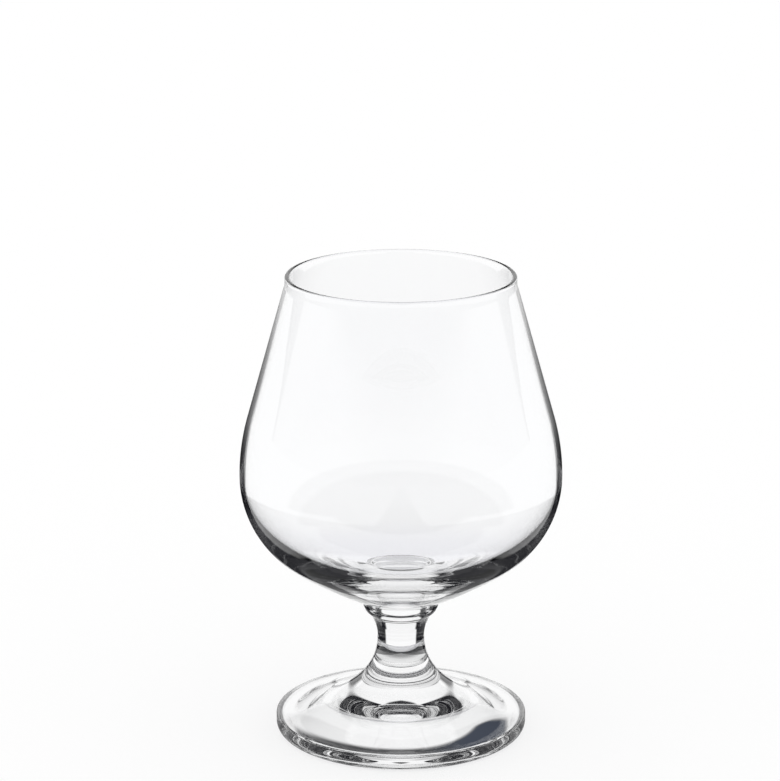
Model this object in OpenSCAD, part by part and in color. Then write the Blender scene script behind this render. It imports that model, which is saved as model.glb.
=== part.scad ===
// Brandy snifter: a wide bowl that narrows to its rim, a short drawn stem and a
// broad foot. Each is a gather of clear glass. The three are fused while hot, so
// they meet on flat round seams. The origin is on the table, under the centre.

/* [Bowl] */
// Height of the bowl from the seam on the stem to the top of the rim
bowl_height = 93.6; // [88:0.1:104]
// Outer diameter at the widest ring
belly_diameter = 89.8; // [84:0.1:98]
// Height of the widest ring above the seam on the stem
belly_rise = 36.5; // [34:0.1:41]
// Outer diameter at the rim
rim_diameter = 63.8; // [54:0.1:74]
// Height of the short collar that stands upright below the rim
collar_height = 2.5; // [1.6:0.1:5]
// Radius of the outer arc that rounds the bowl above its widest ring
upper_arc_radius = 60.4; // [45:0.1:80]
// Radius of the outer arc that rounds the bowl below its widest ring
lower_arc_radius = 29.4; // [26:0.1:31]
// Radius of the slack outer arc from there down to the stem
flank_arc_radius = 140; // [100:1:400]

/* [Bowl wall] */
// Thickness of the rounded edge of the rim
rim_thickness = 1.4; // [1:0.05:1.9]
// Thickness of the wall under the collar
neck_wall = 0.95; // [0.7:0.05:1.5]
// Thickness of the wall at the widest ring
belly_wall = 1.5; // [1.2:0.05:2.2]
// Thickness of the solid glass between the cavity floor and the seam
floor_thickness = 7.7; // [5.5:0.1:11]
// Squareness of the cavity below the widest ring, where 2 is an ellipse
cavity_power = 2.15; // [2.05:0.05:2.4]

/* [Stem] */
// Height of the seam between the stem and the bowl above the table
stem_top_height = 38.2; // [31:0.1:60]
// Diameter of the rounded lip at the top of the stem
lip_diameter = 21.5; // [18:0.1:24]
// Height of the upright band round the top of that lip
lip_band_height = 0.6; // [0.2:0.1:1.5]
// Radius of the rounded side of the lip below the band
lip_round_radius = 4; // [3:0.1:5]
// Radius of the crook under the lip
crook_radius = 2.4; // [1:0.1:4]
// Angle off the upright at which the crook passes into the hollow side
crook_angle = 28.5; // [22:0.5:32]
// Radius of the hollow side between the crook and the waist
waist_round_radius = 13.8; // [11:0.1:16]
// Diameter of the stem at its waist
waist_diameter = 13.3; // [11:0.1:15]

/* [Foot] */
// Outer diameter of the foot
foot_diameter = 70.6; // [62:0.1:84]
// Diameter at which the flare of the stem runs out into the foot
flare_diameter = 44.4; // [40:0.1:50]
// Height of the top face at that diameter
flare_height = 8.2; // [7.7:0.1:9.2]
// Slope of the top face at that diameter, in degrees
flare_slope = 19.7; // [14:0.1:26]
// Height of the top face where its outer edge begins to round over
edge_height = 5.2; // [4.6:0.1:5.8]
// Radius of the upper edge
upper_edge_radius = 0.7; // [0.5:0.1:1.6]
// Radius of the lower edge
lower_edge_radius = 2.5; // [1:0.1:3]
// Width of the flat ring that the glass stands on
ring_width = 1.8; // [1:0.1:3]
// Depth of the hollow under the foot at its centre
hollow_depth = 6.7; // [4:0.1:7.2]

/* [Hidden] */

// Facets round the axis, and points along each curve.
round_facets = 72;
curve_steps = 10;
rim_steps = 8;
edge_steps = 4;

// Radii and heights taken from the driving sizes.
belly_radius = belly_diameter / 2;
rim_radius = rim_diameter / 2;
lip_radius = lip_diameter / 2;
waist_radius = waist_diameter / 2;
foot_radius = foot_diameter / 2;
flare_radius = flare_diameter / 2;
seam_height = stem_top_height;
belly_height = seam_height + belly_rise;
rim_height = seam_height + bowl_height;
neck_height = rim_height - collar_height;
floor_height = seam_height + floor_thickness;

// How hard each curve of the stem holds its end directions.
flare_pull_share = 0.67;
flare_end_share = 0.066;
foot_pull_share = 0.284;
edge_pull_share = 0.262;
// Place of the seam between stem and foot along the flare.
foot_seam_share = 0.78;
// How far the hollow stays low behind the ring, and high round its centre.
hollow_ring_share = 0.126;
hollow_top_share = 0.586;

// A point of a cubic curve from a to d, with b and c pulling it.
function bend(a, b, c, d, t) =
    pow(1 - t, 3) * a + 3 * t * pow(1 - t, 2) * b + 3 * t * t * (1 - t) * c + pow(t, 3) * d;

// Points of that curve from share t0 to share t1.
function curve(a, b, c, d, t0 = 0, t1 = 1, steps = curve_steps) =
    [for (i = [0 : steps]) bend(a, b, c, d, t0 + (t1 - t0) * i / steps)];

// Points of a circular arc from angle a0 to angle a1.
function arc(centre, radius, a0, a1, steps) =
    [for (i = [0 : steps])
        let (angle = a0 + (a1 - a0) * i / steps)
        centre + radius * [cos(angle), sin(angle)]];

// Angle on the circle at which a straight line to the point leaves it.
function touch_angle(centre, radius, point) =
    let (reach = point - centre)
    atan2(reach[1], reach[0]) - acos(radius / norm(reach));

// Outer outline of the bowl: a slack flank, an arc up to the widest ring, a slacker
// arc over it, then a straight shoulder up to the collar.
bowl_seat = [lip_radius, seam_height];
neck = [rim_radius, neck_height];
lower_centre = [belly_radius - lower_arc_radius, belly_height];
upper_centre = [belly_radius - upper_arc_radius, belly_height];
shoulder_angle = touch_angle(upper_centre, upper_arc_radius, neck);

// The flank runs through the seat and touches the arc above it.
seat_reach = lower_centre - bowl_seat;
flank_spare = flank_arc_radius - lower_arc_radius;
flank_turn = acos((pow(norm(seat_reach), 2) + pow(flank_arc_radius, 2) - pow(flank_spare, 2))
    / (2 * norm(seat_reach) * flank_arc_radius));
flank_normal = atan2(seat_reach[1], seat_reach[0]) + flank_turn;
flank_centre = bowl_seat + flank_arc_radius * [cos(flank_normal), sin(flank_normal)];
flank_reach = lower_centre - flank_centre;
flank_angle = atan2(flank_reach[1], flank_reach[0]);
flank_side = arc(flank_centre, flank_arc_radius, flank_normal - 180, flank_angle, edge_steps);
lower_side = arc(lower_centre, lower_arc_radius, flank_angle, 0, curve_steps);
upper_side = arc(upper_centre, upper_arc_radius, 0, shoulder_angle, curve_steps);

// The wall thins evenly in a wave from the widest ring to the collar.
function wall_at(height) =
    let (rise_share = (height - belly_height) / (neck_height - belly_height))
    neck_wall + (belly_wall - neck_wall) * (1 + cos(180 * rise_share)) / 2;

function inside(point) = point - [wall_at(point[1]), 0];

// Cavity below the widest ring: a squared ellipse down to the floor.
cavity_radius = belly_radius - belly_wall;
cavity_depth = belly_height - floor_height;
cavity_steps = 2 * curve_steps;
function cavity_point(angle) =
    [cavity_radius * pow(cos(angle), 2 / cavity_power),
     belly_height - cavity_depth * pow(sin(angle), 2 / cavity_power)];
cavity = [for (i = [1 : cavity_steps - 1]) cavity_point(90 * i / cavity_steps)];

// The shoulder is drawn in even steps, so that the wall can thin along it.
shoulder_foot = upper_side[len(upper_side) - 1];
shoulder = [for (i = [1 : curve_steps])
    shoulder_foot + (neck - shoulder_foot) * i / curve_steps];
upper_outside = concat(upper_side, shoulder);
upper_inside = [for (i = [len(upper_outside) - 1 : -1 : 0]) inside(upper_outside[i])];

// Round edge of the rim, from its outer side over the top to its inner side.
rim_bead_radius = rim_thickness / 2;
rim_centre = [rim_radius - rim_bead_radius, rim_height - rim_bead_radius];
rim_edge = arc(rim_centre, rim_bead_radius, 0, 180, rim_steps);

bowl_outline = concat(
    [[0, seam_height]],
    flank_side,
    [for (i = [1 : len(lower_side) - 1]) lower_side[i]],
    [for (i = [1 : len(upper_outside) - 1]) upper_outside[i]],
    rim_edge,
    upper_inside,
    cavity,
    [[0, floor_height]]);

// Stem: a rounded lip under the bowl, a crook, then a hollow side down to the waist.
// Each arc takes over where the one before has the same slope.
round_sum = lip_round_radius + crook_radius;
lip_angle = acos((round_sum - (crook_radius - waist_round_radius) * (1 - cos(crook_angle))
    - (lip_radius - waist_radius)) / round_sum);
lip_centre = [lip_radius - lip_round_radius, seam_height - lip_band_height];
crook_centre = lip_centre + round_sum * [cos(lip_angle), -sin(lip_angle)];
hollow_centre = crook_centre
    + (waist_round_radius - crook_radius) * [cos(crook_angle), -sin(crook_angle)];
lip_side = arc(lip_centre, lip_round_radius, 0, -lip_angle, curve_steps);
crook_side = arc(crook_centre, crook_radius, 180 - lip_angle, 180 - crook_angle, edge_steps);
hollow_side = arc(hollow_centre, waist_round_radius, 180 - crook_angle, 180, curve_steps);
waist = hollow_centre - [waist_round_radius, 0];

// Flare from the waist to the foot. Stem and foot each take their part of it.
flare_end = [flare_radius, flare_height];
flare_drop = waist[1] - flare_height;
flare_spread = flare_radius - waist_radius;
flare_way = [-cos(flare_slope), sin(flare_slope)];
flare_top_pull = waist - [0, flare_drop * flare_pull_share];
flare_end_pull = flare_end + flare_spread * flare_end_share * flare_way;
foot_seam = bend(waist, flare_top_pull, flare_end_pull, flare_end, foot_seam_share);
stem_flare = curve(waist, flare_top_pull, flare_end_pull, flare_end, 0, foot_seam_share);
foot_flare = curve(waist, flare_top_pull, flare_end_pull, flare_end, foot_seam_share, 1, edge_steps);

stem_outline = concat(
    [[0, seam_height], bowl_seat],
    lip_side,
    [for (i = [1 : len(crook_side) - 1]) crook_side[i]],
    [for (i = [1 : len(hollow_side) - 1]) hollow_side[i]],
    [for (i = [1 : len(stem_flare) - 1]) stem_flare[i]],
    [[0, foot_seam[1]]]);

// Foot: the rest of the flare, a slack top face, a rounded edge, the ring that it
// stands on and a domed hollow beneath.
edge_start = [foot_radius - upper_edge_radius, edge_height];
top_spread = edge_start[0] - flare_radius;
top_face = curve(
    flare_end, flare_end - top_spread * foot_pull_share * flare_way / cos(flare_slope),
    edge_start - [top_spread * edge_pull_share, 0], edge_start);
upper_edge = arc(edge_start - [0, upper_edge_radius], upper_edge_radius, 90, 0, edge_steps);
lower_edge = arc([foot_radius - lower_edge_radius, lower_edge_radius], lower_edge_radius, 0, -90, edge_steps);
ring_inside = [foot_radius - lower_edge_radius - ring_width, 0];
hollow_top = [0, hollow_depth];
hollow = curve(
    ring_inside, ring_inside * (1 - hollow_ring_share),
    hollow_top + ring_inside * hollow_top_share, hollow_top);

foot_outline = concat(
    [[0, foot_seam[1]]],
    foot_flare,
    [for (i = [1 : len(top_face) - 1]) top_face[i]],
    [for (i = [1 : len(upper_edge) - 1]) upper_edge[i]],
    lower_edge,
    hollow);

module lathe(outline) {
    rotate_extrude($fn = round_facets) polygon(outline);
}

module bowl() {
    color([0.90, 0.94, 0.97, 0.35]) lathe(bowl_outline);
}

module stem() {
    color([0.86, 0.91, 0.95, 0.45]) lathe(stem_outline);
}

module foot() {
    color([0.88, 0.92, 0.96, 0.40]) lathe(foot_outline);
}

bowl();
stem();
foot();
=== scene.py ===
# Brandy snifter in clear glass. The bowl, the stem and the foot are turned glass
# solids that meet on flat seams, on a white table under soft light. What the glass
# shows of the table and the room is painted light and shade.
import math

import bmesh
import bpy
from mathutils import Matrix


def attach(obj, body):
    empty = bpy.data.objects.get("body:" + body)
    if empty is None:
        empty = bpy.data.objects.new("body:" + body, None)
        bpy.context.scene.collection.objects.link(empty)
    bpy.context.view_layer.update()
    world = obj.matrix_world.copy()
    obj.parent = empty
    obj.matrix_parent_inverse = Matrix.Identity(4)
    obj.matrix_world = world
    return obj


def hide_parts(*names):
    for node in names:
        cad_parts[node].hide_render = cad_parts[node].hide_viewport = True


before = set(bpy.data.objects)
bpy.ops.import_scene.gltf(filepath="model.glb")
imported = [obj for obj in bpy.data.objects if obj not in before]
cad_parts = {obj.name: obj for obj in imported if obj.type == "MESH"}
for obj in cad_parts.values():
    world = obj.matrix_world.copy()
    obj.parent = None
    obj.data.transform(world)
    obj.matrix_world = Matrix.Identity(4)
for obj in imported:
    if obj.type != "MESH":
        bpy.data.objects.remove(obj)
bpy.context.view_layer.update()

# ---------------------------------------------------------------- sizes, in mm
MM = 0.001

# The bowl. Its heights are measured from its seat on the stem.
BOWL_HEIGHT = 93.6
BELLY_RADIUS = 44.9
BELLY_RISE = 36.5
RIM_RADIUS = 31.9
COLLAR_HEIGHT = 2.5
UPPER_ARC = 60.4
LOWER_ARC = 29.4
FLANK_ARC = 140.0
RIM_THICKNESS = 1.4
NECK_WALL = 0.95
BELLY_WALL = 1.5
FLOOR_THICKNESS = 7.7
CAVITY_POWER = 2.15

# The stem, with the lip under the bowl.
STEM_TOP = 38.2
LIP_RADIUS = 10.75
LIP_BAND = 0.6
LIP_ROUND = 4.0
CROOK = 2.4
CROOK_ANGLE = math.radians(28.5)
WAIST_ROUND = 13.8
WAIST_RADIUS = 6.65

# The foot, from the end of the flare.
FOOT_RADIUS = 35.3
FLARE_RADIUS = 22.2
FLARE_HEIGHT = 8.2
FLARE_SLOPE = math.radians(19.7)
EDGE_HEIGHT = 5.2
UPPER_EDGE = 0.7
LOWER_EDGE = 2.5
RING_WIDTH = 1.8
HOLLOW_DEPTH = 6.7

# Shares that shape the curves, as in the solids.
FLARE_PULL = 0.67
FLARE_END = 0.066
FOOT_PULL = 0.284
EDGE_PULL = 0.262
FOOT_SEAM = 0.78
HOLLOW_RING = 0.126
HOLLOW_TOP = 0.586

# Fineness of the turned meshes, and the distance within which two lengths are the same.
SEGMENTS = 256
CURVE_STEPS = 48
CAVITY_STEPS = 96
SHORT_STEPS = 24
EDGE_STEPS = 20
SHARP_ANGLE = math.radians(30)
SAME = 1e-9


# ---------------------------------------------------------------- outlines
# Each outline is a list of points, radius and height, that goes once round the section.
def bend(a, b, c, d, steps, t0=0.0, t1=1.0):
    """Points of a cubic curve from share t0 to share t1."""
    points = []
    for i in range(steps + 1):
        t = t0 + (t1 - t0) * i / steps
        weights = ((1 - t) ** 3, 3 * t * (1 - t) ** 2, 3 * t * t * (1 - t), t ** 3)
        points.append(tuple(sum(w * p[n] for w, p in zip(weights, (a, b, c, d)))
                            for n in (0, 1)))
    return points


def arc(centre, radius, a0, a1, steps):
    """Points of a circular arc, with angles in radians."""
    angles = [a0 + (a1 - a0) * i / steps for i in range(steps + 1)]
    return [(centre[0] + radius * math.cos(a), centre[1] + radius * math.sin(a))
            for a in angles]


def touch_angle(centre, radius, point):
    """Angle on the circle at which a straight line to the point leaves it."""
    dx, dz = point[0] - centre[0], point[1] - centre[1]
    return math.atan2(dz, dx) - math.acos(radius / math.hypot(dx, dz))


def flank(seat, low):
    """Points of the slack arc from the seat, and the angle at which it meets the low arc."""
    dx, dz = low[0] - seat[0], low[1] - seat[1]
    spare = FLANK_ARC - LOWER_ARC
    reach = math.hypot(dx, dz)
    turn = math.acos((reach ** 2 + FLANK_ARC ** 2 - spare ** 2) / (2 * reach * FLANK_ARC))
    normal = math.atan2(dz, dx) + turn
    centre = (seat[0] + FLANK_ARC * math.cos(normal), seat[1] + FLANK_ARC * math.sin(normal))
    end = math.atan2(low[1] - centre[1], low[0] - centre[0])
    return arc(centre, FLANK_ARC, normal - math.pi, end, SHORT_STEPS), end


def bowl_outline():
    belly = STEM_TOP + BELLY_RISE
    rim = STEM_TOP + BOWL_HEIGHT
    neck_height = rim - COLLAR_HEIGHT
    floor = STEM_TOP + FLOOR_THICKNESS
    seat = (LIP_RADIUS, STEM_TOP)
    neck = (RIM_RADIUS, neck_height)
    low = (BELLY_RADIUS - LOWER_ARC, belly)
    high = (BELLY_RADIUS - UPPER_ARC, belly)
    side, end = flank(seat, low)
    lower = side + arc(low, LOWER_ARC, end, 0, CURVE_STEPS)[1:]
    upper = arc(high, UPPER_ARC, 0, touch_angle(high, UPPER_ARC, neck), CURVE_STEPS)
    start = upper[-1]
    upper += [(start[0] + (neck[0] - start[0]) * i / CURVE_STEPS,
               start[1] + (neck[1] - start[1]) * i / CURVE_STEPS)
              for i in range(1, CURVE_STEPS + 1)]

    def inside(point):
        rise = (point[1] - belly) / (neck_height - belly)
        wall = NECK_WALL + (BELLY_WALL - NECK_WALL) * (1 + math.cos(math.pi * rise)) / 2
        return (point[0] - wall, point[1])

    bead = RIM_THICKNESS / 2
    edge = arc((RIM_RADIUS - bead, rim - bead), bead, 0, math.pi, EDGE_STEPS)
    cavity = []
    for i in range(1, CAVITY_STEPS):
        a = math.pi / 2 * i / CAVITY_STEPS
        cavity.append(((BELLY_RADIUS - BELLY_WALL) * math.cos(a) ** (2 / CAVITY_POWER),
                       belly - (belly - floor) * math.sin(a) ** (2 / CAVITY_POWER)))
    return ([(0, STEM_TOP)] + lower + upper[1:] + edge
            + [inside(p) for p in reversed(upper)] + cavity + [(0, floor)])


def stem_side():
    """Points of the lip, the crook and the hollow side, down to the waist."""
    both = LIP_ROUND + CROOK
    turn = math.acos((both - (CROOK - WAIST_ROUND) * (1 - math.cos(CROOK_ANGLE))
                      - (LIP_RADIUS - WAIST_RADIUS)) / both)
    lip = (LIP_RADIUS - LIP_ROUND, STEM_TOP - LIP_BAND)
    crook = (lip[0] + both * math.cos(turn), lip[1] - both * math.sin(turn))
    spare = WAIST_ROUND - CROOK
    hollow = (crook[0] + spare * math.cos(CROOK_ANGLE),
              crook[1] - spare * math.sin(CROOK_ANGLE))
    return (arc(lip, LIP_ROUND, 0, -turn, SHORT_STEPS)
            + arc(crook, CROOK, math.pi - turn, math.pi - CROOK_ANGLE, EDGE_STEPS)[1:]
            + arc(hollow, WAIST_ROUND, math.pi - CROOK_ANGLE, math.pi, SHORT_STEPS)[1:])


def flare(t0, t1, steps):
    """Points of the flare from share t0 to share t1 of its way down from the waist."""
    waist = stem_side()[-1]
    end = (FLARE_RADIUS, FLARE_HEIGHT)
    pull = (FLARE_RADIUS - WAIST_RADIUS) * FLARE_END
    return bend(waist, (waist[0], waist[1] - (waist[1] - end[1]) * FLARE_PULL),
                (end[0] - pull * math.cos(FLARE_SLOPE), end[1] + pull * math.sin(FLARE_SLOPE)),
                end, steps, t0, t1)


def stem_outline():
    side = stem_side() + flare(0, FOOT_SEAM, CURVE_STEPS)[1:]
    return [(0, STEM_TOP), (LIP_RADIUS, STEM_TOP)] + side + [(0, side[-1][1])]


def foot_outline():
    side = flare(FOOT_SEAM, 1, SHORT_STEPS)
    start = (FOOT_RADIUS - UPPER_EDGE, EDGE_HEIGHT)
    spread = start[0] - FLARE_RADIUS
    top = bend(side[-1],
               (FLARE_RADIUS + spread * FOOT_PULL,
                FLARE_HEIGHT - spread * FOOT_PULL * math.tan(FLARE_SLOPE)),
               (start[0] - spread * EDGE_PULL, start[1]), start, CURVE_STEPS)
    upper = arc((start[0], start[1] - UPPER_EDGE), UPPER_EDGE, math.pi / 2, 0, EDGE_STEPS)
    lower = arc((FOOT_RADIUS - LOWER_EDGE, LOWER_EDGE), LOWER_EDGE, 0, -math.pi / 2,
                EDGE_STEPS)
    ring = FOOT_RADIUS - LOWER_EDGE - RING_WIDTH
    hollow = bend((ring, 0), (ring * (1 - HOLLOW_RING), 0),
                  (ring * HOLLOW_TOP, HOLLOW_DEPTH), (0, HOLLOW_DEPTH), CURVE_STEPS)
    return [(0, side[0][1])] + side + top[1:] + upper[1:] + lower + hollow


# ---------------------------------------------------------------- shader helpers
# The sockets of a Mix node that mixes colours: share, first colour, second colour.
COLOUR_SOCKETS = (0, 6, 7)
COLOUR_RESULT = 2


class Tree:
    """Adds nodes to a node tree and links them. Values are numbers or sockets."""

    def __init__(self, tree):
        self.tree = tree

    def node(self, kind, **settings):
        made = self.tree.nodes.new(kind)
        for name, value in settings.items():
            setattr(made, name, value)
        return made

    def feed(self, socket, value):
        if isinstance(value, bpy.types.NodeSocket):
            self.tree.links.new(value, socket)
        else:
            socket.default_value = value

    def end(self, kind, surface):
        """Makes the surface the result of the tree."""
        self.feed(self.node(kind).inputs["Surface"], surface)

    def math(self, operation, a, b=0.0):
        made = self.node("ShaderNodeMath", operation=operation)
        self.feed(made.inputs[0], a)
        self.feed(made.inputs[1], b)
        return made.outputs[0]

    def ramp(self, value, low, high, at_low, at_high):
        """Smooth step from at_low to at_high as the value goes from low to high."""
        made = self.node("ShaderNodeMapRange", interpolation_type="SMOOTHSTEP")
        for name, v in (("Value", value), ("From Min", low), ("From Max", high),
                        ("To Min", at_low), ("To Max", at_high)):
            self.feed(made.inputs[name], v)
        return made.outputs[0]

    def blend(self, share, a, b):
        """From a to b as the share goes from nought to one."""
        made = self.node("ShaderNodeMix", data_type="FLOAT")
        for name, v in (("Factor", share), ("A", a), ("B", b)):
            self.feed(made.inputs[name], v)
        return made.outputs[0]

    def blend_colours(self, share, a, b):
        made = self.node("ShaderNodeMix", data_type="RGBA")
        for place, v in zip(COLOUR_SOCKETS, (share, a, b)):
            self.feed(made.inputs[place], v)
        return made.outputs[COLOUR_RESULT]

    def above(self, value, limit, soft):
        """One above the limit and nought below it, over a soft edge."""
        if isinstance(limit, bpy.types.NodeSocket):
            low = self.math("SUBTRACT", limit, soft / 2)
            high = self.math("ADD", limit, soft / 2)
        else:
            low, high = limit - soft / 2, limit + soft / 2
        return self.ramp(value, low, high, 0.0, 1.0)

    def below(self, value, limit, soft):
        return self.math("SUBTRACT", 1.0, self.above(value, limit, soft))

    def fewer(self, count, limit):
        return self.math("LESS_THAN", count, limit)

    def more(self, count, limit):
        return self.math("GREATER_THAN", count, limit)

    def all_of(self, first, *others):
        """Product: one only where each of them is."""
        for other in others:
            first = self.math("MULTIPLY", first, other)
        return first

    def any_of(self, first, *others):
        """Highest: one where any of them is."""
        for other in others:
            first = self.math("MAXIMUM", first, other)
        return first


# ---------------------------------------------------------------- surroundings
# The table and the room are white for the camera. For a ray that the glass has turned
# they are painted with light and shade for what it has crossed when it gets there:
# nothing but air, the solid glass of stem and foot, or the walls of the open bowl. Each of
# these sees white with its own painted dark panels, painted shade which draws the glass,
# and with painted shadows and painted reflections. A real room can't tell rays apart like
# that: this one stands in for the photograph's studio.
# Turns are measured from straight behind the glass, rises from the horizon, and reaches
# from the glass's axis, in metres. A light goes from nought, dark, to one, white.
# DARK is the painted shade of the dark panels and of the dark parts of the table and room.
DARK = (0.012, 0.012, 0.015, 1)
WHITE = (1, 1, 1, 1)
EDGE_SOFT = math.radians(4)
RISE_SOFT = math.radians(5)

# Crossings and bounces are whole numbers, so their limits lie halfway between. A ray
# with more crossings than the second limit has been through the open bowl, and one with
# more bounces than the third is deep.
ANY = 0.5
CAVITY_CROSSINGS = 3.5
DEEP_BOUNCES = 3.5

# The painted dark panel on the table, painted shade: half its width at the glass, what it
# widens by for each metre behind, and how it pales further out.
PANEL = 0.071
PANEL_SPREAD = 0.52
PANEL_SOFT = 0.008
PANEL_FADE_FROM = 0.25
PANEL_FADE_TO = 0.75
PANEL_FAR_LIGHT = 0.56

# Painted reflections, seen on the outer skin: a patch and a line straight behind and the
# table on the camera's side are white, a ring about the foot is grey with painted shade,
# and the room is white up to the rise.
SKIN_FRONT = math.radians(30)
SKIN_FRONT_REACH = 0.115
SKIN_LINE = math.radians(12)
SKIN_NEAR_SIDE = math.radians(104)
SKIN_RING = 0.062
SKIN_RING_LIGHT = 0.22
SKIN_RISE = math.radians(23)

# Seen straight through the solid glass: white up to the first turn, on the table or in
# the room, and again from the last, with painted shade between.
CLEAR_FROM = math.radians(28)
CLEAR_ROOM_FROM = math.radians(25)
CLEAR_AGAIN = math.radians(66)

# Seen after reflections inside the solid glass, a painted reflection: a white front
# straight behind. On the table it fades to its sides and is narrower near the glass. In
# the room it is higher at its sides, and dimmer low down with painted shade for a ray
# that has had more than one bounce.
INNER_FRONT = math.radians(28)
INNER_FRONT_LIGHTS = (1.0, 0.75)
INNER_FRONT_FADE = math.radians(18)
INNER_NEAR_FRONT = math.radians(17)
INNER_NEAR_REACH = 0.075
INNER_LOW_LIGHTS = (0.92, 0.6)
INNER_LOW_TURNS = (math.radians(3), math.radians(12))
INNER_LOW_RISE = math.radians(22)
INNER_LOW_BOUNCES = 1.5
INNER_RISE = math.radians(39)
INNER_RISE_SPREAD = 0.5

# Seen so as well: the far table beside the front, as pale as the painted dark panel is
# there, or white past the panel for a ray with one bounce, the table close beside the foot,
# and the room low on the camera's side.
FAR_PANEL_TURN = math.radians(17)
FAR_PANEL_FROM = 0.190
FAR_TABLE_FROM = 0.230
FAR_TABLE_BOUNCES = 1.5
BESIDE_LIGHT = 0.95
BESIDE_REACH = 0.058
BESIDE_TURN = math.radians(76)
NEAR_ROOM_TURN = math.radians(70)
NEAR_ROOM_RISE = math.radians(12)
NEAR_ROOM_LIGHT = 0.8

# Seen by deep rays, painted light and shade: the front, up to a number of bounces, and the
# room, with a faint light low down.
DEEP_FRONT_BOUNCES = 9.5
DEEP_RISE = math.radians(85)
DEEP_ROOM_TURN = math.radians(114)
DEEP_ROOM_LIGHT = 0.65
DEEP_ROOM_BOUNCES = 11.5
DEEP_DIM_LIGHT = 0.02
DEEP_DIM_RISE = math.radians(28)

# The table under the foot, with painted shadow: straight through the glass, then after
# reflections, where its middle and its sides are dim with painted shadow, and for deep
# rays, dark with painted shade.
FOOT_REACH = 0.0355
FOOT_SOFT = 0.003
UNDER_LIGHT = 0.95
MIDDLE_LIGHT = 0.36
MIDDLE_FROM = 0.006
MIDDLE_TO = 0.015
INNER_UNDER_LIGHT = 0.77
INNER_UNDER_TURN = math.radians(39)
INNER_SIDE_LIGHTS = (0.2, 0.85)
INNER_SIDE_FROM = 0.020
INNER_SIDE_TO = 0.028
INNER_SIDE_TURN = math.radians(80)
DEEP_UNDER_LIGHT = 0.08

# The painted shadow ring there on the camera's side, a painted contact shadow of the
# foot's standing ring, seen straight through the solid glass. It reaches further in on the
# right, where the painted shade turns blue, and is cut off along slanting lines inside and
# at the sides.
RING_LIGHT = 0.08
RING_SHADE_COLOUR = (0.046, 0.057, 0.084, 1)
RING_COLOUR_SHARE = 0.3
RING_COLOUR_FROM = 0.004
RING_COLOUR_TO = 0.020
RING_FROM = 0.0261
RING_SOFT = 0.0030
RING_SHIFT = 0.004
RING_SHIFT_MIDDLE = 0.003
RING_SHIFT_WIDTH = 0.024
RING_SHIFT_POWER = 3.0
RING_SIDE = 0.0292
RING_SIDE_SOFT = 0.002
RING_CORNER = 0.0283
RING_CORNER_FROM = 0.010
RING_TURN = math.radians(98)
RING_TURN_SOFT = math.radians(10)

# Seen through the open bowl: the table under the foot, dim with painted shade, the room
# low down and straight behind, and painted shade on the table near the glass, which is
# gone at the further reach.
BOWL_FOOT_LIGHT = 0.62
BOWL_ROOM_LIGHT = 1.0
BOWL_DEEP_ROOM_LIGHT = 0.4
BOWL_ROOM_RISE = math.radians(28)
BOWL_FRONT = math.radians(52)
BOWL_FRONT_RISE = math.radians(56)
TABLE_SHADE = (0.91, 0.91, 0.94, 1)
SHADE_FROM = 0.060
SHADE_TO = 0.170

# Light that reaches the table through the glass, painted: a ray scattered from the table
# that has crossed the glass sees this much, which sets the depth of the glass's shadow.
SHADOW_LIGHT = 0.8


class Ray:
    """What a ray has crossed and met when it ends, as values for the shader."""

    def __init__(self, tree):
        path = tree.node("ShaderNodeLightPath")
        crossings = path.outputs["Transmission Depth"]
        self.from_camera = path.outputs["Is Camera Ray"]
        self.bounces = path.outputs["Glossy Depth"]
        self.outside = tree.fewer(crossings, ANY)
        self.open_bowl = tree.more(crossings, CAVITY_CROSSINGS)
        self.straight = tree.fewer(self.bounces, ANY)
        self.deep = tree.more(self.bounces, DEEP_BOUNCES)
        self.scattered = tree.more(path.outputs["Diffuse Depth"], ANY)


class Place:
    """Where a ray ends, as values for the shader."""

    def __init__(self, tree, point):
        split = tree.node("ShaderNodeSeparateXYZ")
        tree.feed(split.inputs[0], point)
        self.x, self.y, self.z = split.outputs
        self.turn = tree.math("ABSOLUTE", tree.math("ARCTAN2", self.x, self.y))
        self.side = tree.math("ABSOLUTE", self.x)
        square = tree.math("ADD", tree.math("POWER", self.side, 2.0),
                           tree.math("POWER", self.y, 2.0))
        self.reach = tree.math("POWER", square, 0.5)
        self.rise = tree.math("ARCTAN2", self.z, self.reach)
        # The distance to the side, less what the painted dark panel has widened by there.
        widened = tree.math("MULTIPLY", tree.math("MAXIMUM", self.y, 0.0), PANEL_SPREAD)
        self.panel = tree.math("SUBTRACT", self.side, widened)


def panel_light(tree, at):
    """Light of the table's painted dark panel, painted shade that pales further out."""
    return tree.ramp(at.reach, PANEL_FADE_FROM, PANEL_FADE_TO, 0.0, PANEL_FAR_LIGHT)


def skin_light(tree, at, on_table):
    """Painted light and shade that is reflected on the outer skin."""
    if not on_table:
        return tree.below(at.rise, SKIN_RISE, EDGE_SOFT)
    front = tree.all_of(tree.below(at.turn, SKIN_FRONT, EDGE_SOFT),
                        tree.below(at.reach, SKIN_FRONT_REACH, PANEL_SOFT))
    light = tree.any_of(tree.above(at.panel, PANEL, PANEL_SOFT), front,
                        tree.below(at.turn, SKIN_LINE, EDGE_SOFT),
                        tree.above(at.turn, SKIN_NEAR_SIDE, EDGE_SOFT),
                        panel_light(tree, at))
    ring = tree.all_of(tree.below(at.reach, SKIN_RING, PANEL_SOFT),
                       tree.above(at.turn, SKIN_FRONT, EDGE_SOFT))
    return tree.blend(ring, light, SKIN_RING_LIGHT)


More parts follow.
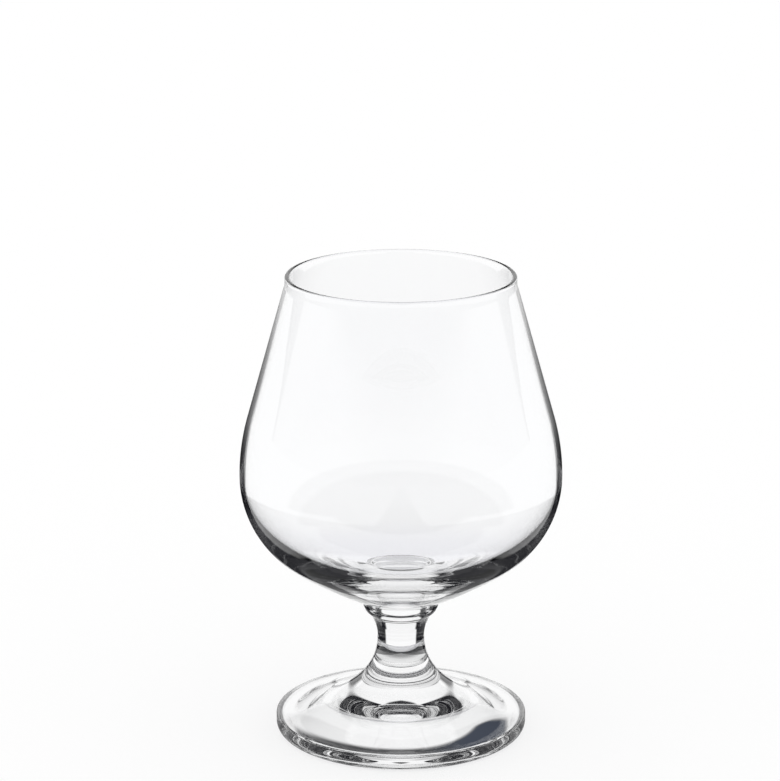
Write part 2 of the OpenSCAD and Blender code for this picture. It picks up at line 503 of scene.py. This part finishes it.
def shadow_ring_share(tree, at):
    """One on the painted shadow ring under the foot."""
    shift = tree.math("DIVIDE", tree.math("ADD", at.x, RING_SHIFT_MIDDLE), RING_SHIFT_WIDTH)
    shift = tree.math("MINIMUM", tree.math("POWER", shift, RING_SHIFT_POWER), 1.0)
    reach = tree.math("ADD", at.reach, tree.math("MULTIPLY", shift, RING_SHIFT))
    slant = tree.math("SUBTRACT", at.side, at.y)
    corner = tree.any_of(tree.above(slant, RING_CORNER, RING_SOFT),
                         tree.below(at.side, RING_CORNER_FROM, RING_SOFT))
    return tree.all_of(tree.above(reach, RING_FROM, RING_SOFT),
                       tree.above(at.turn, RING_TURN, RING_TURN_SOFT),
                       corner,
                       tree.below(at.side, RING_SIDE, RING_SIDE_SOFT),
                       tree.below(at.reach, FOOT_REACH, FOOT_SOFT))


def clear_light(tree, at, ring):
    """Painted light and shade that comes straight through the solid glass. The room has no
    painted shadow ring.
    """
    first = CLEAR_ROOM_FROM if ring is None else CLEAR_FROM
    light = tree.any_of(tree.below(at.turn, first, EDGE_SOFT),
                        tree.above(at.turn, CLEAR_AGAIN, EDGE_SOFT))
    if ring is None:
        return light
    under = tree.blend(ring, UNDER_LIGHT, RING_LIGHT)
    return tree.blend(tree.below(at.reach, FOOT_REACH, FOOT_SOFT), light, under)


def inner_front(tree, at, ray):
    """One on the white front, for a ray that hasn't had too many bounces."""
    return tree.all_of(tree.below(at.turn, INNER_FRONT, EDGE_SOFT),
                       tree.fewer(ray.bounces, DEEP_FRONT_BOUNCES))


def inner_room_light(tree, at, ray):
    """Painted light and shade of the room after reflections inside the solid glass."""
    front = inner_front(tree, at, ray)
    low = tree.any_of(tree.ramp(at.turn, *INNER_LOW_TURNS, *INNER_LOW_LIGHTS),
                      tree.above(at.rise, INNER_LOW_RISE, RISE_SOFT),
                      tree.fewer(ray.bounces, INNER_LOW_BOUNCES))
    front = tree.blend(ray.deep, tree.all_of(front, low), front)
    top = tree.math("ADD", tree.math("MULTIPLY", at.turn, INNER_RISE_SPREAD), INNER_RISE)
    top = tree.blend(ray.deep, top, DEEP_RISE)
    front = tree.all_of(front, tree.below(at.rise, top, RISE_SOFT))
    room = tree.all_of(tree.above(at.turn, NEAR_ROOM_TURN, EDGE_SOFT),
                       tree.below(at.rise, NEAR_ROOM_RISE, RISE_SOFT), NEAR_ROOM_LIGHT)
    deep_room = tree.all_of(tree.above(at.turn, DEEP_ROOM_TURN, EDGE_SOFT),
                            tree.fewer(ray.bounces, DEEP_ROOM_BOUNCES), DEEP_ROOM_LIGHT)
    dim = tree.all_of(tree.below(at.rise, DEEP_DIM_RISE, RISE_SOFT), DEEP_DIM_LIGHT)
    return tree.any_of(front, tree.blend(ray.deep, room, tree.any_of(deep_room, dim)))


def inner_table_light(tree, at, ray):
    """Painted light and shade of the table after reflections inside the solid glass."""
    front = inner_front(tree, at, ray)
    faded = tree.all_of(front, tree.ramp(at.turn, 0.0, INNER_FRONT_FADE, *INNER_FRONT_LIGHTS))
    near = tree.any_of(tree.below(at.turn, INNER_NEAR_FRONT, EDGE_SOFT),
                       tree.above(at.reach, INNER_NEAR_REACH, PANEL_SOFT))
    far_panel = tree.all_of(tree.above(at.reach, FAR_PANEL_FROM, PANEL_SOFT),
                            tree.above(at.turn, FAR_PANEL_TURN, EDGE_SOFT))
    far_table = tree.all_of(tree.above(at.reach, FAR_TABLE_FROM, PANEL_SOFT),
                            tree.above(at.panel, PANEL, PANEL_SOFT),
                            tree.fewer(ray.bounces, FAR_TABLE_BOUNCES))
    beyond = tree.blend(far_panel, tree.all_of(faded, near), panel_light(tree, at))
    beyond = tree.blend(ray.deep, tree.any_of(beyond, far_table), front)
    beside = tree.all_of(tree.below(at.reach, BESIDE_REACH, PANEL_SOFT),
                         tree.above(at.turn, BESIDE_TURN, EDGE_SOFT), BESIDE_LIGHT)
    beyond = tree.any_of(beyond, beside)
    middle = tree.ramp(at.reach, MIDDLE_FROM, MIDDLE_TO, MIDDLE_LIGHT, 1.0)
    side = tree.all_of(tree.ramp(at.reach, INNER_SIDE_FROM, INNER_SIDE_TO, *INNER_SIDE_LIGHTS),
                       tree.below(at.turn, INNER_SIDE_TURN, EDGE_SOFT))
    behind = tree.below(at.turn, INNER_UNDER_TURN, EDGE_SOFT)
    under = tree.all_of(tree.blend(behind, side, INNER_UNDER_LIGHT), middle)
    under = tree.blend(ray.deep, under, DEEP_UNDER_LIGHT)
    return tree.blend(tree.below(at.reach, FOOT_REACH, FOOT_SOFT), beyond, under)


def bowl_light(tree, at, ray, on_table):
    """Painted light and shade that comes through the open bowl."""
    if on_table:
        return tree.blend(tree.below(at.reach, FOOT_REACH, FOOT_SOFT), 1.0, BOWL_FOOT_LIGHT)
    room = tree.all_of(tree.below(at.rise, BOWL_ROOM_RISE, RISE_SOFT),
                       tree.blend(ray.deep, BOWL_ROOM_LIGHT, BOWL_DEEP_ROOM_LIGHT))
    front = tree.all_of(tree.below(at.turn, BOWL_FRONT, EDGE_SOFT),
                        tree.below(at.rise, BOWL_FRONT_RISE, RISE_SOFT))
    return tree.any_of(ray.straight, room, front)


def surroundings(tree, ray, point, on_table):
    """Painted light and shade that a ray sees there, for where the point lies and what the ray
    has crossed.
    """
    at = Place(tree, point)
    ring = shadow_ring_share(tree, at) if on_table else None
    inner = inner_table_light if on_table else inner_room_light
    light = tree.blend(ray.straight, inner(tree, at, ray), clear_light(tree, at, ring))
    light = tree.blend(ray.open_bowl, light, bowl_light(tree, at, ray, on_table))
    skin = tree.any_of(ray.straight, skin_light(tree, at, on_table))
    light = tree.blend(ray.outside, light, skin)
    # Painted shadow: a ray scattered from the table sees less light once it has crossed the
    # glass.
    light = tree.blend(ray.scattered, light, tree.blend(ray.outside, SHADOW_LIGHT, 1.0))
    if not on_table:
        return tree.blend_colours(light, DARK, WHITE)
    # Painted shade on the table near the glass, for rays through the open bowl.
    near = tree.ramp(at.reach, SHADE_FROM, SHADE_TO, 1.0, 0.0)
    pale = tree.blend_colours(tree.all_of(ray.open_bowl, near), WHITE, TABLE_SHADE)
    # Painted shade: the shadow ring turns blue on its right side, for rays straight through
    # the solid glass.
    solid = tree.all_of(ray.straight, tree.math("SUBTRACT", 1.0, ray.open_bowl))
    right = tree.ramp(at.x, RING_COLOUR_FROM, RING_COLOUR_TO, 0.0, 1.0)
    blue = tree.all_of(solid, tree.all_of(right, ring))
    dark = tree.blend_colours(blue, DARK, RING_SHADE_COLOUR)
    light = tree.all_of(light, tree.blend(blue, 1.0, RING_COLOUR_SHARE))
    return tree.blend_colours(light, dark, pale)


def new_material(name):
    made = bpy.data.materials.new(name)
    made.use_nodes = True
    made.node_tree.nodes.clear()
    return made, Tree(made.node_tree)


# The table's side and how far it lies under the foot, in metres.
TABLE_SIDE = 12.0
TABLE_SINK = 0.00002
TABLE_SQUARES = 8


def make_table():
    mesh = bpy.data.meshes.new("table")
    grid = bmesh.new()
    bmesh.ops.create_grid(grid, x_segments=TABLE_SQUARES, y_segments=TABLE_SQUARES,
                          size=TABLE_SIDE / 2)
    grid.to_mesh(mesh)
    grid.free()
    table = bpy.data.objects.new("table", mesh)
    table.location.z = -TABLE_SINK
    bpy.context.scene.collection.objects.link(table)
    made, tree = new_material("white_table")
    matt = tree.node("ShaderNodeBsdfDiffuse")
    matt.inputs["Color"].default_value = WHITE
    where = tree.node("ShaderNodeNewGeometry")
    ray = Ray(tree)
    # For the camera the table is matt white. For other rays it glows with the painted light
    # and shade of the surroundings.
    glow = tree.node("ShaderNodeEmission")
    tree.feed(glow.inputs["Color"], surroundings(tree, ray, where.outputs["Position"], True))
    mix = tree.node("ShaderNodeMixShader")
    for socket, value in zip(mix.inputs, (ray.from_camera, glow.outputs[0], matt.outputs[0])):
        tree.feed(socket, value)
    tree.end("ShaderNodeOutputMaterial", mix.outputs[0])
    made.cycles.emission_sampling = "NONE"
    mesh.materials.append(made)


def make_world():
    world = bpy.data.worlds.new("white_room")
    bpy.context.scene.world = world
    world.use_nodes = True
    world.node_tree.nodes.clear()
    tree = Tree(world.node_tree)
    glow = tree.node("ShaderNodeBackground")
    where = tree.node("ShaderNodeTexCoord")
    # The room is white for the camera, and glows with painted light and shade for rays that
    # the glass has turned.
    colour = surroundings(tree, Ray(tree), where.outputs["Generated"], False)
    tree.feed(glow.inputs["Color"], colour)
    tree.end("ShaderNodeOutputWorld", glow.outputs[0])


# ---------------------------------------------------------------- glass
GLASS_IOR = 1.52
GLASS_COLOUR = (0.994, 0.996, 1, 1)

# The ripple of each piece: its waves for each metre along x, y and z, and its height in
# metres.
RIPPLES = {
    "bowl": ((45, 45, 30), 0.000004),
    "stem": ((160, 160, 60), 0.000004),
    "foot": ((70, 70, 70), 0.000012),
}
RIPPLE_DETAIL = 1.0


def glass(name, ripple_scale, ripple_height):
    """Clear glass with the faint ripple of a hand-worked surface."""
    made, tree = new_material(name)
    shader = tree.node("ShaderNodeBsdfPrincipled")
    shader.inputs["Base Color"].default_value = GLASS_COLOUR
    shader.inputs["Transmission Weight"].default_value = 1.0
    shader.inputs["Roughness"].default_value = 0.0
    shader.inputs["IOR"].default_value = GLASS_IOR
    where = tree.node("ShaderNodeTexCoord")
    stretch = tree.node("ShaderNodeMapping")
    tree.feed(stretch.inputs["Vector"], where.outputs["Object"])
    stretch.inputs["Scale"].default_value = ripple_scale
    noise = tree.node("ShaderNodeTexNoise")
    tree.feed(noise.inputs["Vector"], stretch.outputs[0])
    noise.inputs["Scale"].default_value = 1.0
    noise.inputs["Detail"].default_value = RIPPLE_DETAIL
    bump = tree.node("ShaderNodeBump")
    tree.feed(bump.inputs["Height"], noise.outputs[0])
    bump.inputs["Distance"].default_value = ripple_height
    bump.inputs["Strength"].default_value = 1.0
    tree.feed(shader.inputs["Normal"], bump.outputs[0])
    tree.end("ShaderNodeOutputMaterial", shader.outputs[0])
    return made


def seam_clear():
    """The fused seam between two gathers: nothing shows there."""
    made, tree = new_material("fused_seam")
    tree.end("ShaderNodeOutputMaterial", tree.node("ShaderNodeBsdfTransparent").outputs[0])
    return made


def turn_solid(name, outline, materials, seams):
    """A closed solid turned from the outline, with the seam faces in the last material."""
    mesh = bpy.data.meshes.new(name)
    work = bmesh.new()
    angles = [2 * math.pi * k / SEGMENTS for k in range(SEGMENTS)]
    rings = []
    for r, z in outline:
        if r < SAME:
            rings.append([work.verts.new((0, 0, z * MM))])
        else:
            rings.append([work.verts.new((r * MM * math.cos(a), r * MM * math.sin(a), z * MM))
                          for a in angles])
    for i, ring in enumerate(rings):
        n = (i + 1) % len(rings)
        after = rings[n]
        if len(ring) == 1 and len(after) == 1:
            continue
        z0, z1 = outline[i][1], outline[n][1]
        at_seam = abs(z0 - z1) < SAME and any(abs(z0 - s) < SAME for s in seams)
        for k in range(SEGMENTS):
            m = (k + 1) % SEGMENTS
            if len(ring) == 1:
                corners = (ring[0], after[m], after[k])
            elif len(after) == 1:
                corners = (ring[k], ring[m], after[0])
            else:
                corners = (ring[k], ring[m], after[m], after[k])
            face = work.faces.new(corners)
            face.smooth = True
            face.material_index = 1 if at_seam else 0
    bmesh.ops.recalc_face_normals(work, faces=work.faces)
    work.to_mesh(mesh)
    work.free()
    mesh.set_sharp_from_angle(angle=SHARP_ANGLE)
    for material in materials:
        mesh.materials.append(material)
    made = bpy.data.objects.new(name, mesh)
    bpy.context.scene.collection.objects.link(made)
    return made


seam_heights = (STEM_TOP, flare(FOOT_SEAM, 1, 1)[0][1])
seam = seam_clear()
for node, outline in (("bowl", bowl_outline()), ("stem", stem_outline()),
                      ("foot", foot_outline())):
    name = node + "_glass"
    piece = turn_solid(name, outline, (glass(name, *RIPPLES[node]), seam), seam_heights)
    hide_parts(node)
    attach(piece, "root")

make_table()
make_world()

# ---------------------------------------------------------------- camera
# The focal length and the column of the glass's axis are in pixels of the 780 x 781
# frame, the camera's place is in metres, and the sensor is in millimetres.
FRAME_WIDTH, FRAME_HEIGHT = 780, 781
FOCAL_PX = 3232.0
AXIS_PX = 400.9
TILT = math.radians(15.52)
DISTANCE = 0.861
HEIGHT = 0.338
SENSOR = 36.0
CLIP_NEAR = 0.01
CLIP_FAR = 50.0
MOST_BOUNCES = 32

camera_data = bpy.data.cameras.new("camera")
camera_data.sensor_width = SENSOR
camera_data.lens = FOCAL_PX * SENSOR / FRAME_HEIGHT
camera_data.shift_x = -(AXIS_PX - FRAME_WIDTH / 2) / FRAME_HEIGHT
camera_data.clip_start = CLIP_NEAR
camera_data.clip_end = CLIP_FAR
camera = bpy.data.objects.new("camera", camera_data)
camera.location = (0, -DISTANCE, HEIGHT)
camera.rotation_euler = (math.pi / 2 - TILT, 0, 0)

scene = bpy.context.scene
scene.collection.objects.link(camera)
bpy.context.scene.camera = camera
scene.view_settings.view_transform = "Standard"
scene.cycles.max_bounces = MOST_BOUNCES
scene.cycles.glossy_bounces = MOST_BOUNCES
scene.cycles.transmission_bounces = MOST_BOUNCES
scene.cycles.transparent_max_bounces = MOST_BOUNCES
scene.cycles.blur_glossy = 0.0
